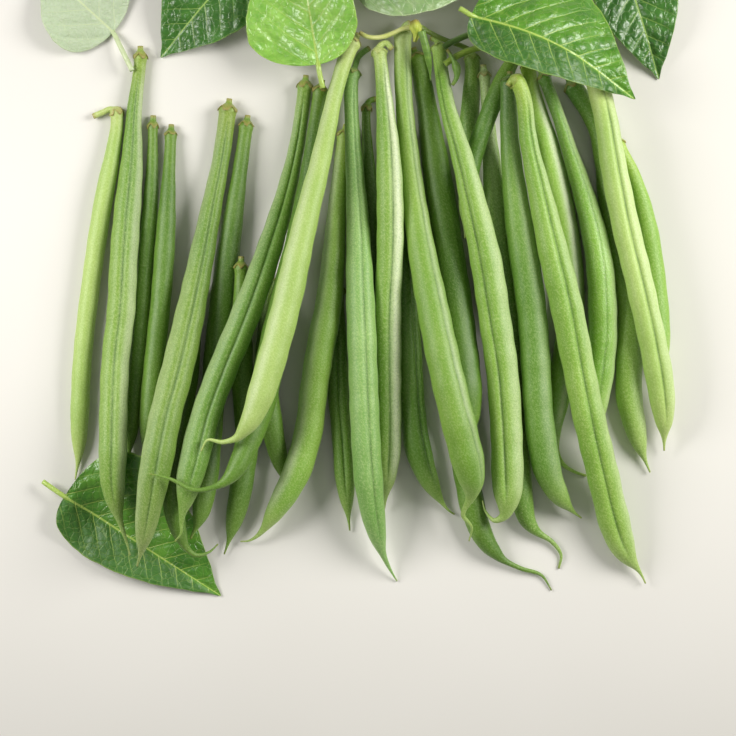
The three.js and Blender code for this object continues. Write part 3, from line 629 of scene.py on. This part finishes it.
def leaf_material(name, bright, deep, under, vein, gloss):
    """A leaf: greens in patches, pale veins with a fine net between them, glossy above and matt below.

    The mask "cycle" counts the side veins, "rib" is the way from the midrib as a share of its width,
    "reach" the way to the blade's edge as a share, and "dim" the half that turns away from the light,
    which is darkened as painted shade. A pale line along the edge is a painted highlight.
    """
    material, tree = skin_material(name)
    patches = between(tree, grain(tree, 150, (1, 1, 1), 4, 0.6, 0.7), 0.32, 0.68)
    colour = blend(tree, patches, bright, deep)
    # Painted shade: the half of the blade that turns away from the light is darkened
    colour = blend(tree, mask(tree, "shaded_half"), colour, scaled(deep, 0.8))
    place = node(tree, "ShaderNodeTexCoord").outputs["Object"]
    net = node(tree, "ShaderNodeTexVoronoi", {"Vector": place, "Scale": 480}, feature="DISTANCE_TO_EDGE")
    lines = between(tree, net.outputs["Distance"], 0.0, 0.06, 1.0, 0.0)
    thin = between(tree, lines, 0.0, 1.0, 0.0, 0.22)
    colour = blend(tree, thin, colour, vein)
    speck = grain(tree, 1800, (1, 1, 1), 3, 0.6, 0.2)
    colour = blend(tree, between(tree, speck, 0.45, 0.75, 0.0, 0.25), colour, bright)
    below = blend(tree, thin, under, vein)
    below = blend(tree, between(tree, speck, 0.4, 0.7, 0.0, 0.35), below, bright)
    colour = blend(tree, mask(tree, "under"), colour, below)
    waver = grain(tree, 260, (1, 1, 1), 2, 0.5, 0.9)
    sway = arithmetic(tree, "MULTIPLY_ADD", waver, 0.16, mask(tree, "cycle"))
    off = arithmetic(tree, "PINGPONG", sway, 0.5)
    reach = mask(tree, "reach")
    side = between(tree, off, 0.012, 0.042, 1.0, 0.0)
    side = arithmetic(tree, "MULTIPLY", side, between(tree, reach, 0.1, 0.95, 0.75, 0.1))
    colour = blend(tree, side, colour, vein)
    # Painted highlight: a pale line along the blade's edge
    colour = blend(tree, between(tree, reach, 0.965, 0.99, 0.0, 0.45), colour, vein)
    colour = blend(tree, between(tree, mask(tree, "rib"), 0.5, 1.0, 0.95, 0.0), colour, vein)
    matt = arithmetic(tree, "MAXIMUM", mask(tree, "under"), mask(tree, "shaded_half"))
    rough = between(tree, matt, 0.0, 1.0, gloss, 0.52)
    height = arithmetic(tree, "SUBTRACT", speck, arithmetic(tree, "MAXIMUM", lines, side))
    bump = node(tree, "ShaderNodeBump", {"Strength": 0.5, "Distance": 0.0002, "Height": height})
    finish_material(tree, colour, rough, bump.outputs[0], **{
        "Subsurface Weight": 0.06, "Subsurface Radius": (0.6, 1.0, 0.3), "Subsurface Scale": 0.0008,
        "Coat Weight": 0.22, "Coat Roughness": 0.24, "Specular IOR Level": 0.65,
    })
    return material


def leaf(name, looks, bulge=0.62, flipped=False, relief=0.3, quilt=0.5, wave=0.5, shaded_half=0):
    """A leaf: its stalk, and a thin blade with sunken veins and puckered skin between them.

    bulge is the solid's: the smaller it is, the nearer to the stalk the blade is widest. relief is how
    deep the veins lie, quilt how high the skin between them stands, and wave how far the edge goes up
    and down. dim is 1 or -1 for the side of the midrib that turns away from the light and is darkened
    with painted shade, or 0. flipped turns the underside up.
    """
    seed = sum(map(ord, name))
    rings = sections(name, LEAF_SOLID_CORNERS)
    spread = [np.ptp(ring[:, :2], axis=0).max() for ring in rings[:STEM_RINGS]]
    if max(spread) > 3 * STEM_RADIUS:
        rings = rings[::-1]
    stem_rings = rings[:STEM_RINGS]
    # Each corner of the blade's underside is paired with the one above it, from one edge to the other.
    rows = []
    before = None
    for ring in rings[STEM_RINGS:]:
        low_to_high = ring[np.argsort(ring[:, 2], kind="stable")]
        halves = []
        left = list(range(len(ring)))
        while left:
            i = left.pop(0)
            partner = min(left, key=lambda k: np.hypot(*(low_to_high[k, :2] - low_to_high[i, :2])))
            left.remove(partner)
            halves.append((low_to_high[i] + low_to_high[partner]) / 2)
        halves = np.array(halves)
        gaps = np.linalg.norm(halves[:, None, :2] - halves[None, :, :2], axis=2)
        i, j = np.unravel_index(gaps.argmax(), gaps.shape)
        direction = halves[j, :2] - halves[i, :2]
        if before is not None and direction @ before < 0:
            direction = -direction
        before = direction
        rows.append(halves[np.argsort(halves[:, :2] @ direction)])
    rows = np.array(rows)
    middle = BLADE_COLUMNS // 2
    span = (rows[-1, middle, :2] - rows[0, middle, :2]) / (BLADE_END - BLADE_START)
    length = float(np.linalg.norm(span))
    across = rows[3, -1, :2] - rows[3, middle, :2]
    across /= np.linalg.norm(across)
    known = np.linspace(BLADE_START, BLADE_END, BLADE_ROWS)
    share = float(np.sin(math.pi * known[3] ** bulge) ** 0.75)
    plus = np.linalg.norm(rows[3, -1, :2] - rows[3, middle, :2]) / share
    minus = np.linalg.norm(rows[3, 0, :2] - rows[3, middle, :2]) / share
    count_u = int(length / LEAF_CELL)
    count_v = int((plus + minus) / LEAF_CELL) | 1
    u = 0.5 - 0.5 * np.cos(math.pi * np.linspace(0.012, 0.995, count_u))
    v = np.linspace(-1, 1, count_v)
    # Heights: smooth through the solid's middle surface, first across each row and then along.
    spots = np.linspace(-1, 1, BLADE_COLUMNS)
    crossed = np.array([through(row[:, 2:3], spots, v)[:, 0] for row in rows])
    inside = np.clip(u, BLADE_START, BLADE_END)
    heights = np.stack([through(crossed[:, k:k + 1], known, inside)[:, 0] for k in range(count_v)], axis=1)
    reach = np.where(v[None, :] > 0, plus, minus) * blade_width(u, bulge)[:, None]
    edge = 1 + 0.018 * wobble(u * length, 11, seed)[:, None] * np.abs(v[None, :]) ** 3
    w = v[None, :] * reach * edge
    s = np.broadcast_to((u * length)[:, None], w.shape)
    spine = through(rows[:, middle, :2], known, inside) + (u - inside)[:, None] * span
    points = spine[:, None, :] + w[..., None] * across
    # Side veins leave the midrib at a slant, in turn on its two sides.
    cycle = (s - VEIN_SLANT * np.abs(w) - 0.012 * w**2 + np.where(w > 0, 0.0, 0.3 * VEIN_GAP)) / VEIN_GAP
    off = np.abs(cycle - np.round(cycle)) * VEIN_GAP / math.hypot(1, VEIN_SLANT)
    fade = 1 - 0.75 * np.abs(v[None, :]) ** 2
    valley = np.clip(np.maximum(bell(off, 0.8) * fade, 1.2 * bell(w, 0.9)), 0, 1)
    blister = np.zeros_like(w)
    for i in range(w.shape[0]):
        for k in range(w.shape[1]):
            spot = Vector((s[i, k] / PUCKER_SIZE + seed, (w[i, k] + 0.2 * s[i, k]) / PUCKER_SIZE, 0))
            distances, _ = noise.voronoi(spot)
            blister[i, k] = min(1.0, (distances[1] - distances[0]) * 2.2)
    rim = smooth((1 - np.abs(v[None, :])) * 6) * smooth((1 - u[:, None]) * 12)
    lift = (quilt * np.sqrt(blister) * (1 - valley) - relief * valley) * rim
    lift += wave * np.abs(v[None, :]) ** 3 * (1 + wobble(s[:, 0], 16, seed + 3)[:, None]) / 2
    z = heights + lift
    half = LEAF_THICKNESS / 2
    top = np.concatenate([points, (z + half)[..., None]], axis=2).reshape(-1, 3)
    bottom = np.concatenate([points, (z - half)[..., None]], axis=2).reshape(-1, 3)
    bottom[:, 2] = np.maximum(bottom[:, 2], LOWEST)
    top[:, 2] = np.maximum(top[:, 2], bottom[:, 2] + LEAF_THICKNESS)
    faces = []
    count = count_u * count_v
    turned = np.cross(np.append(span, 0), np.append(across, 0))[2] < 0
    for i in range(count_u - 1):
        for k in range(count_v - 1):
            a = i * count_v + k
            quad = (a, a + count_v, a + count_v + 1, a + 1)
            faces.append(quad[::-1] if turned else quad)
            low = tuple(c + count for c in quad)
            faces.append(low if turned else low[::-1])
    rim_line = list(range(count_v)) + [i * count_v + count_v - 1 for i in range(1, count_u)]
    rim_line += [(count_u - 1) * count_v + k for k in range(count_v - 2, -1, -1)]
    rim_line += [i * count_v for i in range(count_u - 2, 0, -1)]
    for i, a in enumerate(rim_line):
        b = rim_line[(i + 1) % len(rim_line)]
        quad = (a, b, b + count, a + count)
        faces.append(quad[::-1] if turned else quad)
    shape = Shape("cycle", "rib", "reach", "under", "shaded_half")
    under = np.concatenate([np.full(count, float(flipped)), np.full(count, float(not flipped))])
    rib = np.abs(w) / (0.42 - 0.26 * u[:, None])
    away = np.broadcast_to(np.abs(v), w.shape)
    # Painted shade on the half of the blade that turns away from the light
    darker = smooth(shaded_half * w / 1.2) if shaded_half else np.zeros_like(w)
    painted = {"cycle": cycle, "rib": rib, "reach": away, "shaded_half": darker}
    painted = {key: np.tile(values.ravel(), 2) for key, values in painted.items()}
    shape.add(np.vstack([top, bottom]), faces, under=under, **painted)
    # The stalk runs on a little way below the blade.
    centres = np.array([ring.mean(axis=0) for ring in stem_rings])
    for way in (0.03, 0.12):
        i = np.searchsorted(u, way)
        centres = np.vstack([centres, [*spine[i], z[i, count_v // 2] - 0.35]])
    distance = np.concatenate([[0], np.cumsum(np.linalg.norm(np.diff(centres, axis=0), axis=1))])
    at = np.arange(0, distance[-1], STEM_STEP)
    radius = STEM_RADIUS - 0.45 * smooth((at - distance[-3]) / (distance[-1] - distance[-3]))
    corners = np.linspace(0, 2 * math.pi, STEM_CORNERS, endpoint=False)
    shape.tube(through(centres, distance, at), radius, corners)
    colours = [srgb(*colour) for colour in looks["colours"]]
    shape.piece(f"{name}_blade", name, leaf_material(f"{name}_blade", *colours, looks["roughness"]))


# Each look's colours: bright green, deep green, underside and veins
FRESH = {"colours": ((104, 160, 48), (62, 120, 30), (140, 168, 104), (176, 204, 96)), "roughness": 0.3}
BRIGHT = {"colours": ((160, 208, 96), (108, 168, 60), (140, 168, 104), (176, 204, 96)), "roughness": 0.26}
DARK = {"colours": ((70, 124, 44), (42, 90, 26), (132, 160, 104), (150, 184, 92)), "roughness": 0.28}
WHITISH = {"colours": ((156, 184, 126), (116, 156, 90), (190, 206, 176), (204, 218, 172)), "roughness": 0.36}
leaf("leaf_tips_left", FRESH, bulge=0.52, relief=0.15, quilt=0.25, wave=0.2, shaded_half=-1)
leaf("leaf_far_left", WHITISH, flipped=True, quilt=0.25)
leaf("leaf_far_right", DARK)
leaf("leaf_top_left", DARK)
leaf("leaf_top_middle", WHITISH)
leaf("leaf_top_centre", BRIGHT)
leaf("leaf_top_right", FRESH, bulge=0.56, shaded_half=1)


# The surface, the light and the camera

def stage_floor():
    half = 1.2  # of its width
    mesh = bpy.data.meshes.new("floor")
    corners = [(-half, -half, 0), (half, -half, 0), (half, half, 0), (-half, half, 0)]
    mesh.from_pydata(corners, [], [(0, 1, 2, 3)])
    material, tree = skin_material("floor")
    tone = between(tree, grain(tree, 6, detail=3), 0.3, 0.7)
    colour = blend(tree, tone, srgb(226, 224, 219), srgb(233, 231, 227))
    finish_material(tree, colour, 0.75, node(tree, "ShaderNodeNewGeometry").outputs["Normal"])
    mesh.materials.append(material)
    floor = bpy.data.objects.new("floor", mesh)
    bpy.context.scene.collection.objects.link(floor)


def add_light(name, place, aim, size, power, colour, spread):
    """A soft square light. Its spread is the angle that it shines into, in degrees, and power in watts."""
    data = bpy.data.lights.new(name, "AREA")
    data.shape = "SQUARE"
    data.size = size
    data.energy = power
    data.color = colour
    data.spread = math.radians(spread)
    light = bpy.data.objects.new(name, data)
    light.location = place
    light.rotation_euler = (Vector(aim) - Vector(place)).to_track_quat("-Z", "Y").to_euler()
    bpy.context.scene.collection.objects.link(light)


# The left third of the bunch is lit from the left, and the rest from the right, as in the photo.
stage_floor()
add_light("right", (0.34, 0.1, 0.26), (0.03, -0.01, 0), 0.22, 0.86, (1, 0.98, 0.93), 120)
add_light("left", (-0.28, 0.06, 0.22), (-0.06, -0.03, 0), 0.18, 0.28, (1, 0.98, 0.94), 90)
world = bpy.data.worlds.new("room")
world.use_nodes = True
world.node_tree.nodes["Background"].inputs["Color"].default_value = (1, 0.99, 0.93, 1)
world.node_tree.nodes["Background"].inputs["Strength"].default_value = 0.22
bpy.context.scene.world = world
bpy.context.scene.view_settings.view_transform = "Standard"

camera_data = bpy.data.cameras.new("camera")
camera_data.sensor_width = SENSOR
camera_data.lens = LENS
camera_data.clip_start = 0.01
camera_data.clip_end = 10
camera = bpy.data.objects.new("camera", camera_data)
camera_height = VIEW_WIDTH * LENS / SENSOR + VIEW_HEIGHT
camera.location = (VIEW_CENTRE[0] * MM, VIEW_CENTRE[1] * MM, camera_height * MM)
bpy.context.scene.collection.objects.link(camera)
bpy.context.scene.camera = camera
